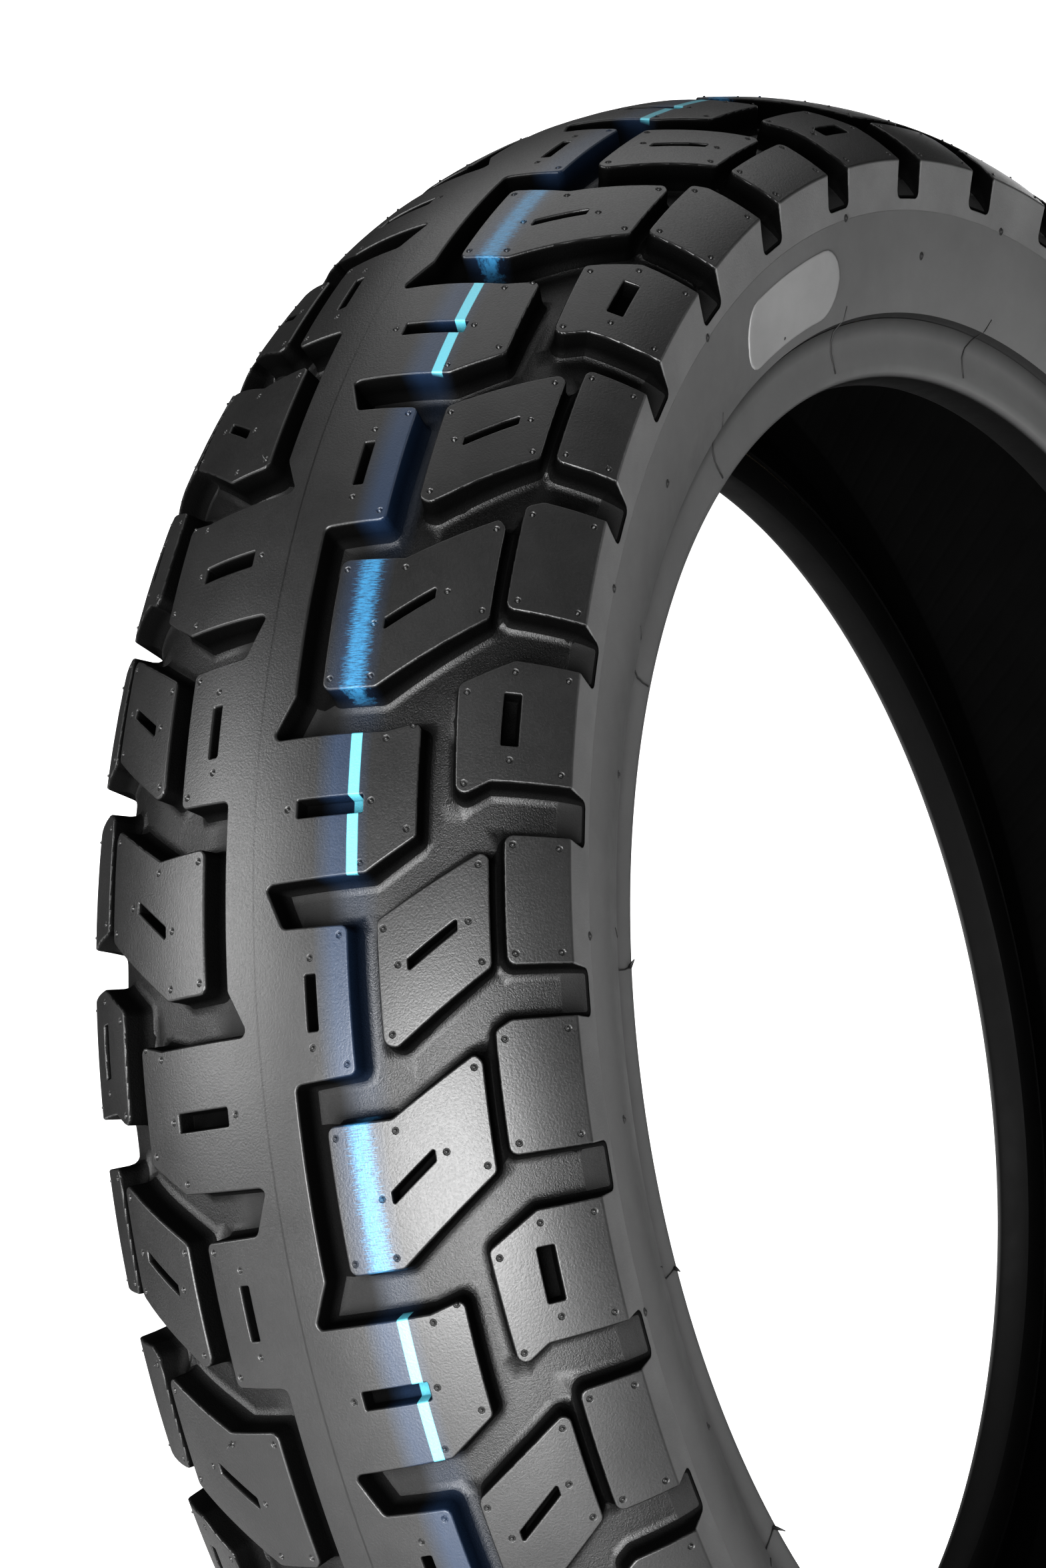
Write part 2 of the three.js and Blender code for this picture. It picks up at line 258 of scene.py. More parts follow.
# ---- The moulded surface: how deep it lies, and where that is ----
def groove_depth(points):
    """Full depth of the grooves: shallower at the shoulder, and in the narrow cuts between blocks."""
    u = points[:, 0]
    t = points[:, 1] / LENGTH_PER_DEGREE
    depth = CENTRE_DEPTH + (SHOULDER_DEPTH - CENTRE_DEPTH) * smoothstep(u, 36, 60)
    for low_u, high_u, low_t, high_t in NARROW_CUTS:
        across = smoothstep(u, low_u - 1, low_u) * (1 - smoothstep(u, high_u, high_u + 1))
        for turn in (-PERIOD, 0.0, PERIOD):
            low = low_t + turn
            high = high_t + turn
            along = smoothstep(t, low - 0.1, low + 0.5) * (1 - smoothstep(t, high - 0.5, high + 0.1))
            depth += (NARROW_DEPTH - depth) * across * along
    return depth


def pip_distance(points):
    """Distance to the nearest vent pip, worked out a few thousand points at a time to save memory."""
    near = np.full(len(points), np.inf)
    for start in range(0, len(points), 4000):
        block = points[start:start + 4000, None, :] - PIPS[None]
        near[start:start + 4000] = np.hypot(block[..., 0], block[..., 1]).min(1)
    return near


def tread_depth(points):
    """How far the moulded surface lies below the tread surface."""
    gap = signed_distance(points, RAISED)
    full = groove_depth(points)
    foot = WALL_START + (full - FILLET - EDGE_DROP) * DRAFT
    edge = EDGE_DROP * np.clip((gap - EDGE_START) / (WALL_START - EDGE_START), 0, 1) ** 2.2
    wall = EDGE_DROP + (full - FILLET - EDGE_DROP) * (gap - WALL_START) / (foot - WALL_START)
    reach = np.clip(gap - foot, 0, FILLET)
    fillet = full - FILLET + np.sqrt(FILLET**2 - (FILLET - reach) ** 2)
    depth = np.where(gap < WALL_START, edge, np.where(gap < foot, wall, fillet))
    sipe = np.interp(signed_distance(points, ALL_SIPES), *SIPE_PROFILE)
    return np.maximum(depth, sipe) + np.interp(pip_distance(points), *PIP_PROFILE)


def along_section(u, section, depth):
    """Points [y, radius] on a section at the shoulder, where None means on the crown at a depth."""
    stations = [station for station, _ in section]
    places = [place if place else tuple(crown(station, depth)) for station, place in section]
    return np.stack([np.interp(u, stations, [place[axis] for place in places]) for axis in (0, 1)], -1)


def top_point(u):
    """Where the tread surface, or the buttress below it, lies at arc length u."""
    first = BUTTRESS[0][0]
    below = along_section(u, BUTTRESS, 0.0)
    return np.where((u < first)[:, None], crown(np.minimum(u, first)), below)


def floor_point(u, full):
    """Where the bottom of a full-depth groove lies at arc length u. It rises to the buttress at the end."""
    first = GROOVE_FLOOR[0][0]
    last = GROOVE_FLOOR[-1][0]
    run = along_section(u, GROOVE_FLOOR, SHOULDER_DEPTH)
    run = np.where((u > last)[:, None], top_point(u), run)
    return np.where((u < first)[:, None], crown(np.minimum(u, first), full), run)


def tread_surface(points):
    """Pattern points as places on the near half, and the share of the full groove depth at each."""
    u = points[:, 0]
    full = groove_depth(points)
    share = (tread_depth(points) / full)[:, None]
    top = top_point(u)
    section = top + share * (floor_point(u, full) - top)
    angle = np.radians(points[:, 1] / LENGTH_PER_DEGREE + PATTERN_START)
    radius = section[:, 1]
    place = np.stack([-radius * np.cos(angle), -section[:, 0], radius * np.sin(angle)], -1)
    return place, share[:, 0]


# ---- One period of the pattern as a flat mesh ----
class FlatMesh:
    """Points and lines in the flat pattern, joined into triangles at the end."""

    def __init__(self, low):
        self.low = low
        self.high = low + FLAT_PERIOD
        self.points = []
        self.edges = []

    def add_line(self, line, closed=False, level=None):
        """Adds a line. With a level, keeps only what truly lies at that distance from the raised ground."""
        keep = (line[:, 0] > -3) & (line[:, 0] < HEM + 3)
        keep &= (line[:, 1] > self.low - 9) & (line[:, 1] < self.high + 9)
        if level is not None:
            keep &= np.abs(signed_distance(line, RAISED) - level) < 0.04
        numbers = (np.cumsum(keep) - 1 + len(self.points)).tolist()
        last = len(line) - 1
        pairs = [(i, i + 1) for i in range(last)]
        if closed:
            pairs.append((last, 0))
        self.edges.extend((numbers[a], numbers[b]) for a, b in pairs if keep[a] and keep[b])
        self.points.extend(line[keep].tolist())

    def triangulate(self):
        """The points and the triangles that lie within the period."""
        placed = [Vector(point) for point in self.points]
        out, _, faces, *_ = delaunay_2d_cdt(placed, self.edges, [], 0, 1e-4)
        points = np.array([tuple(p) for p in out])
        triangles = np.array([face for face in faces if len(face) == 3])
        middle = points[triangles].mean(1)
        good = (middle[:, 0] > 0) & (middle[:, 0] < HEM)
        good &= (middle[:, 1] > self.low) & (middle[:, 1] < self.high)
        triangles = triangles[good]
        a, b, c = (points[triangles[:, k]] for k in range(3))
        area = (b[:, 0] - a[:, 0]) * (c[:, 1] - a[:, 1]) - (b[:, 1] - a[:, 1]) * (c[:, 0] - a[:, 0])
        return points, np.where((area > 0)[:, None], triangles, triangles[:, ::-1])


def add_walls(mesh):
    """Lines along the edges of the raised ground, down its walls and over the fillets."""
    wall_foot = WALL_START + (SHOULDER_DEPTH - FILLET - EDGE_DROP) * DRAFT
    levels = TOP_LEVELS + [WALL_START, wall_foot] + [wall_foot + FILLET * step for step in FILLET_STEPS]
    for level in levels:
        mesh.add_line(offset_loop(RIB_LINE, level)[2:-2], level=level)
        mesh.add_line(offset_loop(SHOULDER_RUN[::-1], level)[2:-2], level=level)
        for island in ISLAND_LOOPS:
            for loop in repeated(island):
                mesh.add_line(offset_loop(loop, level), closed=True, level=level)


def add_sipes_and_pips(mesh):
    for sipe in ALL_SIPES:
        for level in SIPE_LEVELS:
            mesh.add_line(offset_loop(sipe, level), closed=True)
    around = np.linspace(0, 2 * math.pi, 9)[:-1]
    circle = np.stack([np.cos(around), np.sin(around)], -1)
    for centre in PIPS:
        for radius in PIP_RINGS:
            mesh.add_line(centre + radius * circle, closed=True)
        mesh.points.append(centre.tolist())


def add_spots(mesh):
    """Loose points on the open ground, to keep the triangles small."""
    placed = np.array(mesh.points)
    for row, v in enumerate(np.arange(mesh.low + 3, mesh.high, 6.0)):
        for u in np.arange(5 + 3 * (row % 2), HEM - 2, 6.0):
            gap = np.hypot(*(placed - (u, v)).T).min()
            if gap > 1.6 and abs(u - SHOULDER_EDGE) > 2:
                mesh.points.append((u, v))


def add_borders(mesh):
    """Lines round the tyre at the kept arc lengths, and across it at both ends of the period."""
    rows = [mesh.low + FLAT_PERIOD * k / ROWS_PER_PERIOD for k in range(ROWS_PER_PERIOD + 1)]
    for u in KEPT_LINES:
        mesh.add_line(np.array([(u, v) for v in rows]))
    for v in (mesh.low, mesh.high):
        mesh.add_line(np.array([(u, v) for u in np.linspace(0, HEM, 22)]))


def pattern_mesh():
    """One period of the near half in the flat pattern: points and triangles."""
    mesh = FlatMesh(PATTERN_LOW * LENGTH_PER_DEGREE)
    add_walls(mesh)
    add_sipes_and_pips(mesh)
    add_spots(mesh)
    add_borders(mesh)
    return mesh.triangulate()


# ---- The tread cap. A surface is (points, normals, patterns, triangles) ----
PATTERN_WIDTH = 200.0  # the span of arc lengths that the pattern attribute's first channel covers
NUDGE = 0.03
WELD = 2e-6  # metres
SHADED_DEPTH = (0.04, 0.93)  # shares of the full depth between which the ground is a wall or a fillet, and takes the low-gloss copy of the rubber as painted shade
BESIDE_RIB = ((8.0, 19.3), (-20.9, -13.0))  # arc lengths and angles of the groove beside the rib


def tread_normals(flat_points):
    """Normals of the moulded surface, from its slopes across and along the pattern."""
    across, along = (
        tread_surface(flat_points + nudge)[0] - tread_surface(flat_points - nudge)[0]
        for nudge in np.eye(2) * NUDGE
    )
    normal = np.cross(across, along)
    return normal / np.linalg.norm(normal, axis=1, keepdims=True)


def pattern_values(u, t, share):
    """What the tread's material reads at each corner: arc length, angle and depth, each as 0 to 1."""
    return np.stack([u / PATTERN_WIDTH + 0.5, (t - PATTERN_LOW) / PERIOD, share, np.ones_like(u)], -1)


def tread_periods():
    """The moulded surface, as one surface for each period of each half."""
    flat_points, triangles = pattern_mesh()
    used, triangles = np.unique(triangles, return_inverse=True)
    triangles = triangles.reshape(-1, 3)
    flat_points = flat_points[used]
    place, share = tread_surface(flat_points)
    normal = tread_normals(flat_points)
    t = flat_points[:, 1] / LENGTH_PER_DEGREE
    surfaces = []
    for k in range(PERIODS):
        for side, shift in ((1, 0.0), (-1, PERIOD / 2)):
            turn = math.radians(k * PERIOD + shift)
            spin = np.array([
                [math.cos(turn), 0, math.sin(turn)],
                [0, side, 0],
                [-math.sin(turn), 0, math.cos(turn)],
            ])
            values = pattern_values(flat_points[:, 0] * side, t, share)
            surfaces.append((place @ spin.T, normal @ spin.T, values, triangles[:, ::side]))
    return surfaces


def directions(columns, first):
    """Unit vectors evenly round the tyre's axis, from a first angle in degrees."""
    angles = np.arange(columns) * (2 * math.pi / columns) + math.radians(first)
    return np.stack([-np.cos(angles), np.zeros(columns), np.sin(angles)], -1)


def cap_underside():
    """The inside of the cap from hem to hem, which meets the moulded surface at both hems."""
    half = [(78.8, 270.2), (77.6, 270.0), (73.0, 270.0)]
    half += [tuple(crown(u, CAP_THICKNESS)) for u in (90.0, 78.0, 65.0, 52.0, 39.0, 26.0, 13.0)]
    section = half + [tuple(crown(0.0, CAP_THICKNESS))] + [(-y, r) for y, r in reversed(half)]
    columns = PERIODS * ROWS_PER_PERIOD
    radial = directions(columns, PATTERN_START + PATTERN_LOW)
    points, normals, faces = [], [], []
    for row, (y, r) in enumerate(section):
        ahead = np.subtract(section[min(row + 1, len(section) - 1)], section[max(row - 1, 0)])
        flip = (-1 if ahead[0] > 0 else 1) / math.hypot(*ahead)
        points.append(radial * r + (0.0, -y, 0.0))
        normals.append(flip * (radial * ahead[0] + (0.0, ahead[1], 0.0)))
    for row in range(len(section) - 1):
        for column in range(columns):
            a = row * columns + column
            b = row * columns + (column + 1) % columns
            faces += [(a, b + columns, b), (a, a + columns, b + columns)]
    points = np.vstack(points)
    blank = np.tile([1.0, 0.5, 0.0, 1.0], (len(points), 1))
    return points, np.vstack(normals), blank, np.array(faces)


def joined(surfaces):
    """Several surfaces as one."""
    faces = []
    base = 0
    for points, _, _, triangles in surfaces:
        faces.append(triangles + base)
        base += len(points)
    points, normals, patterns = (np.vstack([surface[k] for surface in surfaces]) for k in range(3))
    return points, normals, patterns, np.vstack(faces)


def shaded_faces(patterns, faces):
    """1 for the grooves' walls and fillets, and for all of the groove beside the rib, which take the
    low-gloss copy of the rubber as painted shade. 0 elsewhere.
    """
    middle = patterns[faces].mean(1)
    u = np.abs(middle[:, 0] - 0.5) * PATTERN_WIDTH
    t = middle[:, 1] * PERIOD + PATTERN_LOW
    (low_u, high_u), (low_t, high_t) = BESIDE_RIB
    beside_rib = (u > low_u) & (u < high_u) & (t > low_t) & (t < high_t)
    low, high = SHADED_DEPTH
    depth = middle[:, 2]
    return ((depth > low) & ((depth < high) | beside_rib)).astype(np.int32)


def new_object(name, mesh):
    obj = bpy.data.objects.new(name, mesh)
    bpy.context.scene.collection.objects.link(obj)
    return obj


def tread_cap(materials):
    """The tread cap as one welded mesh, with its own normals and the pattern attribute."""
    points, normals, patterns, faces = joined(tread_periods() + [cap_underside()])
    mesh = bpy.data.meshes.new("finished_tread_cap")
    mesh.from_pydata((points * MM).tolist(), [], faces.tolist())
    pattern = mesh.color_attributes.new("pattern", "FLOAT_COLOR", "CORNER")
    pattern.data.foreach_set("color", patterns[faces.ravel()].astype(np.float32).ravel())
    kept = mesh.attributes.new("kept_normal", "FLOAT_VECTOR", "CORNER")
    kept.data.foreach_set("vector", normals[faces.ravel()].astype(np.float32).ravel())
    mesh.polygons.foreach_set("material_index", shaded_faces(patterns, faces))

    work = bmesh.new()
    work.from_mesh(mesh)
    bmesh.ops.remove_doubles(work, verts=work.verts, dist=WELD)
    work.to_mesh(mesh)
    work.free()

    restored = np.zeros(3 * len(mesh.loops), np.float32)
    mesh.attributes["kept_normal"].data.foreach_get("vector", restored)
    mesh.attributes.remove(mesh.attributes["kept_normal"])
    mesh.shade_smooth()
    mesh.normals_split_custom_set(restored.reshape(-1, 3).tolist())
    for material in materials:
        mesh.materials.append(material)
    return new_object("finished_tread_cap", mesh)


# ---- Turned pieces ----
COLUMNS = 288
SHARP = 35.0  # degrees between two faces, above which their edge stays crisp


def loft(work, rings, closed=False):
    """A skin through rings of points, with a face at both ends unless the last ring joins the first."""
    made = [[work.verts.new(point) for point in ring] for ring in rings]
    for low, high in zip(made, made[1:] + made[:closed]):
        for i, corner in enumerate(low):
            j = (i + 1) % len(low)
            work.faces.new((corner, low[j], high[j], high[i]))
    if not closed:
        work.faces.new(made[0][::-1])
        work.faces.new(made[-1])


def finished(name, work, material):
    """The object of a mesh, with its faces turned outward and shaded smooth."""
    bmesh.ops.recalc_face_normals(work, faces=work.faces)
    mesh = bpy.data.meshes.new(name)
    work.to_mesh(mesh)
    work.free()
    mesh.shade_smooth()
    mesh.materials.append(material)
    return new_object(name, mesh)


def lathe(name, outline, material):
    """A closed (y, radius) outline turned round the Y axis."""
    radial = directions(COLUMNS, 0.0)
    work = bmesh.new()
    loft(work, [(radial * r + (0.0, y, 0.0)) * MM for y, r in outline], closed=True)
    obj = finished(name, work, material)
    obj.data.set_sharp_from_angle(angle=math.radians(SHARP))
    return obj


def mirrored(points):
    return [(-y, r) for y, r in points[::-1]]


def offset_path(path, distance):
    """A polyline moved sideways to the right of its direction, with mitred corners."""
    path = np.array(path, float)
    ahead = np.diff(path, axis=0)
    ahead /= np.linalg.norm(ahead, axis=1, keepdims=True)
    right = np.stack([ahead[:, 1], -ahead[:, 0]], -1)
    first = np.vstack([right[:1], right])
    last = np.vstack([right, right[-1:]])
    scale = distance / (1 + (first * last).sum(1, keepdims=True))
    return path + (first + last) * scale


# ---- Layers under the tread, each named top lying that far below the tread surface ----
GAP = 0.3  # left between neighbouring layers
BASE = 1.5
BELT = 1.0
PLY = 0.9
LINER = 1.2
BASE_TOP = CAP_THICKNESS + GAP
OUTER_BELT_TOP = BASE_TOP + BASE + GAP
INNER_BELT_TOP = OUTER_BELT_TOP + BELT + GAP
PLY_TOP = INNER_BELT_TOP + BELT + GAP
BELT_EDGE = 73.0  # arc lengths from the equator
INNER_EDGE = 90.0
STATION_STEP = 6.0
PLY_BEND = 8.0  # radius of the plies' corners below the shoulder and round the bead
BEAD_PATH = [(64, 244.6), (58.6, 231), (58.6, 224.3), (50, 224.3), (50, 230), (65.6, 256.5)]
LINER_PATH = BEAD_PATH[-2:]


def crown_line(depth, low, high):
    """Points (y, radius) under the crown at one depth, from one arc length to another."""
    count = max(2, round((high - low) / STATION_STEP))
    return [tuple(point) for point in crown(np.linspace(low, high, count), depth)]


def layer_outline(start, below, thickness):
    """A layer that reaches from bead to bead, some way below the outer face of the outer ply."""
    crown_run = crown_line(PLY_TOP, 0.0, INNER_EDGE)[::-1]
    bend = rounded(start + crown_run[:2], PLY_BEND, closed=False, arc_step=0.2)
    half = [tuple(point) for point in bend[:-1]] + crown_run[1:]
    whole = half + mirrored(half[:-1])
    outer = offset_path(whole, -below)
    inner = offset_path(whole, -below - thickness)
    return np.vstack([outer, inner[::-1]])


def crown_sheet(top, thickness):
    """A layer that lies under the crown only, from belt edge to belt edge."""
    outer = crown_line(top, 0.0, BELT_EDGE)
    inner = crown_line(top + thickness, 0.0, BELT_EDGE)[::-1]
    return mirrored(outer[1:]) + outer + inner + mirrored(inner[:-1])


def belt_edge_strip():
    """The strip that fills the room between the belts' edge and the shoulder."""
    outer = crown_line(BASE_TOP, BELT_EDGE + 1.0, INNER_EDGE)
    inner = crown_line(PLY_TOP - GAP, BELT_EDGE + 1.0, INNER_EDGE)[::-1]
    return outer + [(72.7, 270.2), (72.2, 270.2)] + inner


# ---- Pieces at the sides. The two outer ones start at the top of their outer face and go down it ----
SIDEWALL = [
    (78.8, 270.15), (77.9, 265.4), (76.4, 259.0), (74.4, 252.6), (71.3, 245.6), (69.3, 241.4),
    (68.0, 238.9), (66.6, 238.35), (65.4, 237.8), (64.0, 237.8), (67.3, 246.4), (66.4, 257.0),
    (72.2, 269.95), (77.7, 269.95),
]
RIM_STRIP = [
    (65.3, 237.6), (64.3, 236.2), (63.6, 234.6), (62.9, 232.0), (62.4, 228.0), (62.1, 223.4), (61.5, 221.3),
    (60.2, 219.9), (57.0, 219.0), (49.6, 218.5), (47.6, 219.3), (46.4, 221.4), (46.7, 229.5), (47.3, 229.5),
    (47.3, 221.6), (59.9, 221.6), (61.3, 223.0), (61.3, 231.5), (63.8, 237.6),
]
# The outer face of both, from the bead up to the cap, for details that lie on it.
WALL_LINE = RIM_STRIP[7::-1] + SIDEWALL[8::-1] + [(79.4, 272.9)]
BEAD_CORE = [(51.1, 225.4), (57.5, 225.4), (57.5, 231.4), (51.1, 231.4)]
BEAD_FILLER = [(51.7, 231.7), (57.9, 231.7), (62.9, 243.6), (59, 244.6)]

# ---- Small moulded details ----
SIDES = {"near": -1, "far": 1}
STRAND_SIDES = 6
OFF_STRAND = Vector((0.3, 0.5, 0.81))  # a direction that no strand runs in
FLASH_SEEDS = {"near": 11, "far": 12}
FLASH_COUNT = 16
FLASH_START = 78.6
FLASH_HEIGHT = 0.12
FLASH_LINE = [  # radius, and degrees turned at a bend of 1
    (243.5, 1.3), (239.5, 1.0), (236.5, 0.4), (233.5, -0.2), (230.0, -0.5), (226.5, -0.4), (223.5, -0.2),
]
FLASH_SIZES = [0.12, 0.22, 0.26, 0.22, 0.26, 0.22, 0.3]
FLASH_PIP_SIZES = [0.7, 0.45, 0.15]
FLASH_PIP_REACH = 0.0016  # metres
WALL_PIP_RINGS = [(270.6, 11.1, 16), (256.0, 0.0, 8), (244.6, 23.4, 8)]  # radius, first angle, count
WALL_PIP_COLLAR = [  # size and height
    (1.3, -0.2), (1.3, 0.05), (1.0, 0.16), (0.75, 0.1), (0.6, 0.3), (0.38, 0.62), (0.12, 0.7),
]
PANEL_RADIUS = 253.0
PANEL_ANGLE = 69.6
PANEL_HALF_LENGTH = 23.5
PANEL_HALF_WIDTH = 10.6
PANEL_EDGE = [(0.0, -0.3), (0.0, 0.22), (0.25, 0.38)]  # inset from the outline, and height
PANEL_TOP = [(inset, 0.42) for inset in (0.8, 3.0, 5.5, 8.0, 10.0)]
HAIR_SEED = 5
HAIR_COUNT = 34
HAIR_SIZES = [0.4, 0.28, 0.1]


def wall_point(side, radius, degrees, height):
    """A place on the outside of a wall, raised by a height in mm."""
    y = float(np.interp(radius, [r for _, r in WALL_LINE], [y for y, _ in WALL_LINE])) + height
    angle = math.radians(degrees)
    return (-radius * math.cos(angle) * MM, side * y * MM, radius * math.sin(angle) * MM)


def tube(work, path, radii):
    """A tapering round strand through the points of a path, in metres, with its radii in mm."""
    path = [Vector(point) for point in path]
    turns = np.linspace(0, 2 * math.pi, STRAND_SIDES + 1)[:-1]
    rings = []
    for i, point in enumerate(path):
        ahead = (path[min(i + 1, len(path) - 1)] - path[max(i - 1, 0)]).normalized()
        across = ahead.cross(OFF_STRAND).normalized()
        over = ahead.cross(across)
        size = radii[i] * MM
        rings.append([point + size * (math.cos(a) * across + math.sin(a) * over) for a in turns])
    loft(work, rings)


def flash_lines(name, material):
    """Thin fins where the segments of the mould's bead ring met, some of them with a pip at the end."""
    side = SIDES[name]
    draw = np.random.default_rng(FLASH_SEEDS[name])
    work = bmesh.new()
    for k in range(FLASH_COUNT):
        start = FLASH_START + k * 360.0 / FLASH_COUNT
        bend = draw.uniform(0.3, 1.5)
        path = []
        for radius, turn in FLASH_LINE:
            degrees = start + turn * bend + draw.normal(0, 0.04)
            path.append(wall_point(side, radius, degrees, FLASH_HEIGHT))
        tube(work, path, FLASH_SIZES)
        if draw.random() < 0.5:
            root = Vector(path[-1])
            lean = Vector(draw.normal(0, 0.001, 3))
            tip = root + lean + Vector((0, side * FLASH_PIP_REACH, 0))
            tube(work, [root, (root + tip) / 2, tip], FLASH_PIP_SIZES)
    return finished("bead_flash_lines_" + name, work, material)


def wall_circle(side, radius, degrees, size, height):
    """A small circle of points laid on a wall."""
    circle = []
    for a in np.linspace(0, 2 * math.pi, 13)[:-1]:
        turn = math.degrees(size * math.cos(a) / radius)
        circle.append(wall_point(side, radius + size * math.sin(a), degrees + turn, height))
    return circle


def wall_pips(name, material):
    """Cut-off vent stubs on the sidewall: a low collar with a dome in it."""
    side = SIDES[name]
    work = bmesh.new()
    for radius, first, count in WALL_PIP_RINGS:
        for k in range(count):
            degrees = first + k * 360.0 / count
            loft(work, [wall_circle(side, radius, degrees, size, height) for size, height in WALL_PIP_COLLAR])
    return finished("wall_vent_pips_" + name, work, material)


def panel_ring(size):
    """The outline of a plate with round ends, as (along, across), for half a width."""
    ring = []
    for end, first in ((1, -90.0), (-1, 90.0)):
        for step in range(13):
            a = math.radians(first + 15.0 * step)
            ring.append((end * PANEL_HALF_LENGTH + size * math.cos(a), size * math.sin(a)))
        straight = np.linspace(end * PANEL_HALF_LENGTH, -end * PANEL_HALF_LENGTH, 9)[1:-1]
        ring += [(along, end * size) for along in straight]
    return ring


def blank_panel(material):
    """The raised plate on the near sidewall, rounded at both ends and left blank."""
    rings = []
    for inset, height in PANEL_EDGE + PANEL_TOP:
        ring = []
        for along, across in panel_ring(PANEL_HALF_WIDTH - inset):
            degrees = PANEL_ANGLE + math.degrees(along / PANEL_RADIUS)
            ring.append(wall_point(SIDES["near"], PANEL_RADIUS + across, degrees, height))
        rings.append(ring)
    work = bmesh.new()
    loft(work, rings)
    return finished("blank_panel_near", work, material)


def mould_hairs(material):
    """Vent hairs that the knife missed, at some of the tread's pips. One in three is on the near half."""
    draw = np.random.default_rng(HAIR_SEED)
    work = bmesh.new()
    for k in range(HAIR_COUNT):
        turn = draw.integers(0, PERIODS)
        u, t = VENT_PIPS[draw.integers(0, len(VENT_PIPS))]
        side, shift = (SIDES["far"], PERIOD / 2) if k % 3 else (SIDES["near"], 0.0)
        y, radius = crown(u)
        angle = math.radians(t + PATTERN_START + turn * PERIOD + shift)
        root = Vector((-radius * math.cos(angle), side * y, radius * math.sin(angle))) * MM
        out = Vector((root.x, root.y * 2.0, root.z)).normalized()
        lean = Vector(draw.normal(0, 0.6, 3))
        length = draw.uniform(0.0012, 0.0034)
        path = [root - out * 0.0004, root + out * length * 0.5, root + (out + lean * 0.6) * length]
        tube(work, path, HAIR_SIZES)
    return finished("mould_hairs", work, material)


# ---- Materials. Lengths in them are metres, except the tread's own u and t ----
HAZE_COLOR = (0.020, 0.045, 0.095)
SMEAR_COLOR = (0.030, 0.115, 0.20)
LINE_COLOR = (0.080, 0.26, 0.31)
# Painted shade under the sidewall's step.
CREASE_SHADE_COLOR = (0.012, 0.012, 0.012)
# Painted shade on the bead's inner part.
INSIDE_SHADE_COLOR = (0.005, 0.005, 0.005)
CREASE_SHADE_RADII = (0.2325, 0.2383, 0.2389)  # radii where the painted shade under the sidewall's step begins, is full, and ends
BEAD_SHADE_RANGE = (0.0588, 0.0612)  # distances from the middle plane where the bead turns dark with painted shade
INNER_RUBBER = (0.012, 0.018, 0.6)  # darkest and lightest grey, and roughness


class Shader:
    """A node material with short calls for the nodes used here."""

    def __init__(self, name, **inputs):
        self.material = bpy.data.materials.new(name)
        self.material.use_nodes = True
        self.tree = self.material.node_tree
        self.surface = self.tree.nodes["Principled BSDF"]
        for key, value in inputs.items():
            self.surface.inputs[key.replace("_", " ")].default_value = value
        self.place = self.node("TexCoord").outputs["Object"]

    def node(self, kind, inputs=None, **settings):
        node = self.tree.nodes.new("ShaderNode" + kind)
        for key, value in settings.items():
            setattr(node, key, value)
        for key, value in (inputs or {}).items():
            self.feed(node.inputs[key], value)
        return node

    def feed(self, socket, value):
        """Links another node's output to a socket, or sets the socket to a plain value."""
        if isinstance(value, bpy.types.NodeSocket):
            self.tree.links.new(value, socket)
        else:
            socket.default_value = value

    def to(self, key, value):
        self.feed(self.surface.inputs[key], value)

    def noise(self, scale, detail=3.0, roughness=0.55, vector=None):
        inputs = {"Vector": vector or self.place, "Scale": scale, "Detail": detail, "Roughness": roughness}
        return self.node("TexNoise", inputs).outputs["Fac"]

    def math(self, operation, a, b=0.0, c=0.0):
        return self.node("Math", {0: a, 1: b, 2: c}, operation=operation).outputs[0]

    def ramp(self, value, stops):
        """Colours along a value. A stop's colour may be one number, for a grey."""
        node = self.node("ValToRGB", {"Fac": value})
        for element, (position, color) in zip(node.color_ramp.elements, stops):
            element.position = position
            element.color = (*color, 1.0) if isinstance(color, tuple) else (color, color, color, 1.0)
        return node.outputs["Color"]

    def remap(self, value, low, high, to_low, to_high):
        return self.node("MapRange", {0: value, 1: low, 2: high, 3: to_low, 4: to_high}).outputs[0]

    def mix(self, share, under, over):
        """A colour laid over another one."""
        over = (*over, 1.0) if isinstance(over, tuple) else over
        return self.node("Mix", {0: share, 6: under, 7: over}, data_type="RGBA").outputs[2]

    def blend(self, share, a, b):
        return self.node("Mix", {0: share, 2: a, 3: b}, data_type="FLOAT").outputs[0]

    def bump(self, height, distance, strength=1.0, after=None):
        inputs = {"Height": height, "Distance": distance, "Strength": strength}
        if after is not None:
            inputs["Normal"] = after
        return self.node("Bump", inputs).outputs["Normal"]

    def axes(self):
        return self.node("SeparateXYZ", {0: self.place}).outputs

    def radius(self):
        """Distance from the tyre's axis."""
        x, _, z = self.axes()
        return self.math("SQRT", self.math("MULTIPLY_ADD", x, x, self.math("MULTIPLY", z, z)))

    def cords(self, round_rate, across_rate):
        """Stripes from 0 to 1, closer together at higher rates round the tyre and across it."""
        x, y, z = self.axes()
        turn = self.math("MULTIPLY", self.math("ARCTAN2", z, x), round_rate)
        run = self.math("MULTIPLY_ADD", y, across_rate, turn)
        return self.math("ABSOLUTE", self.math("SINE", run))


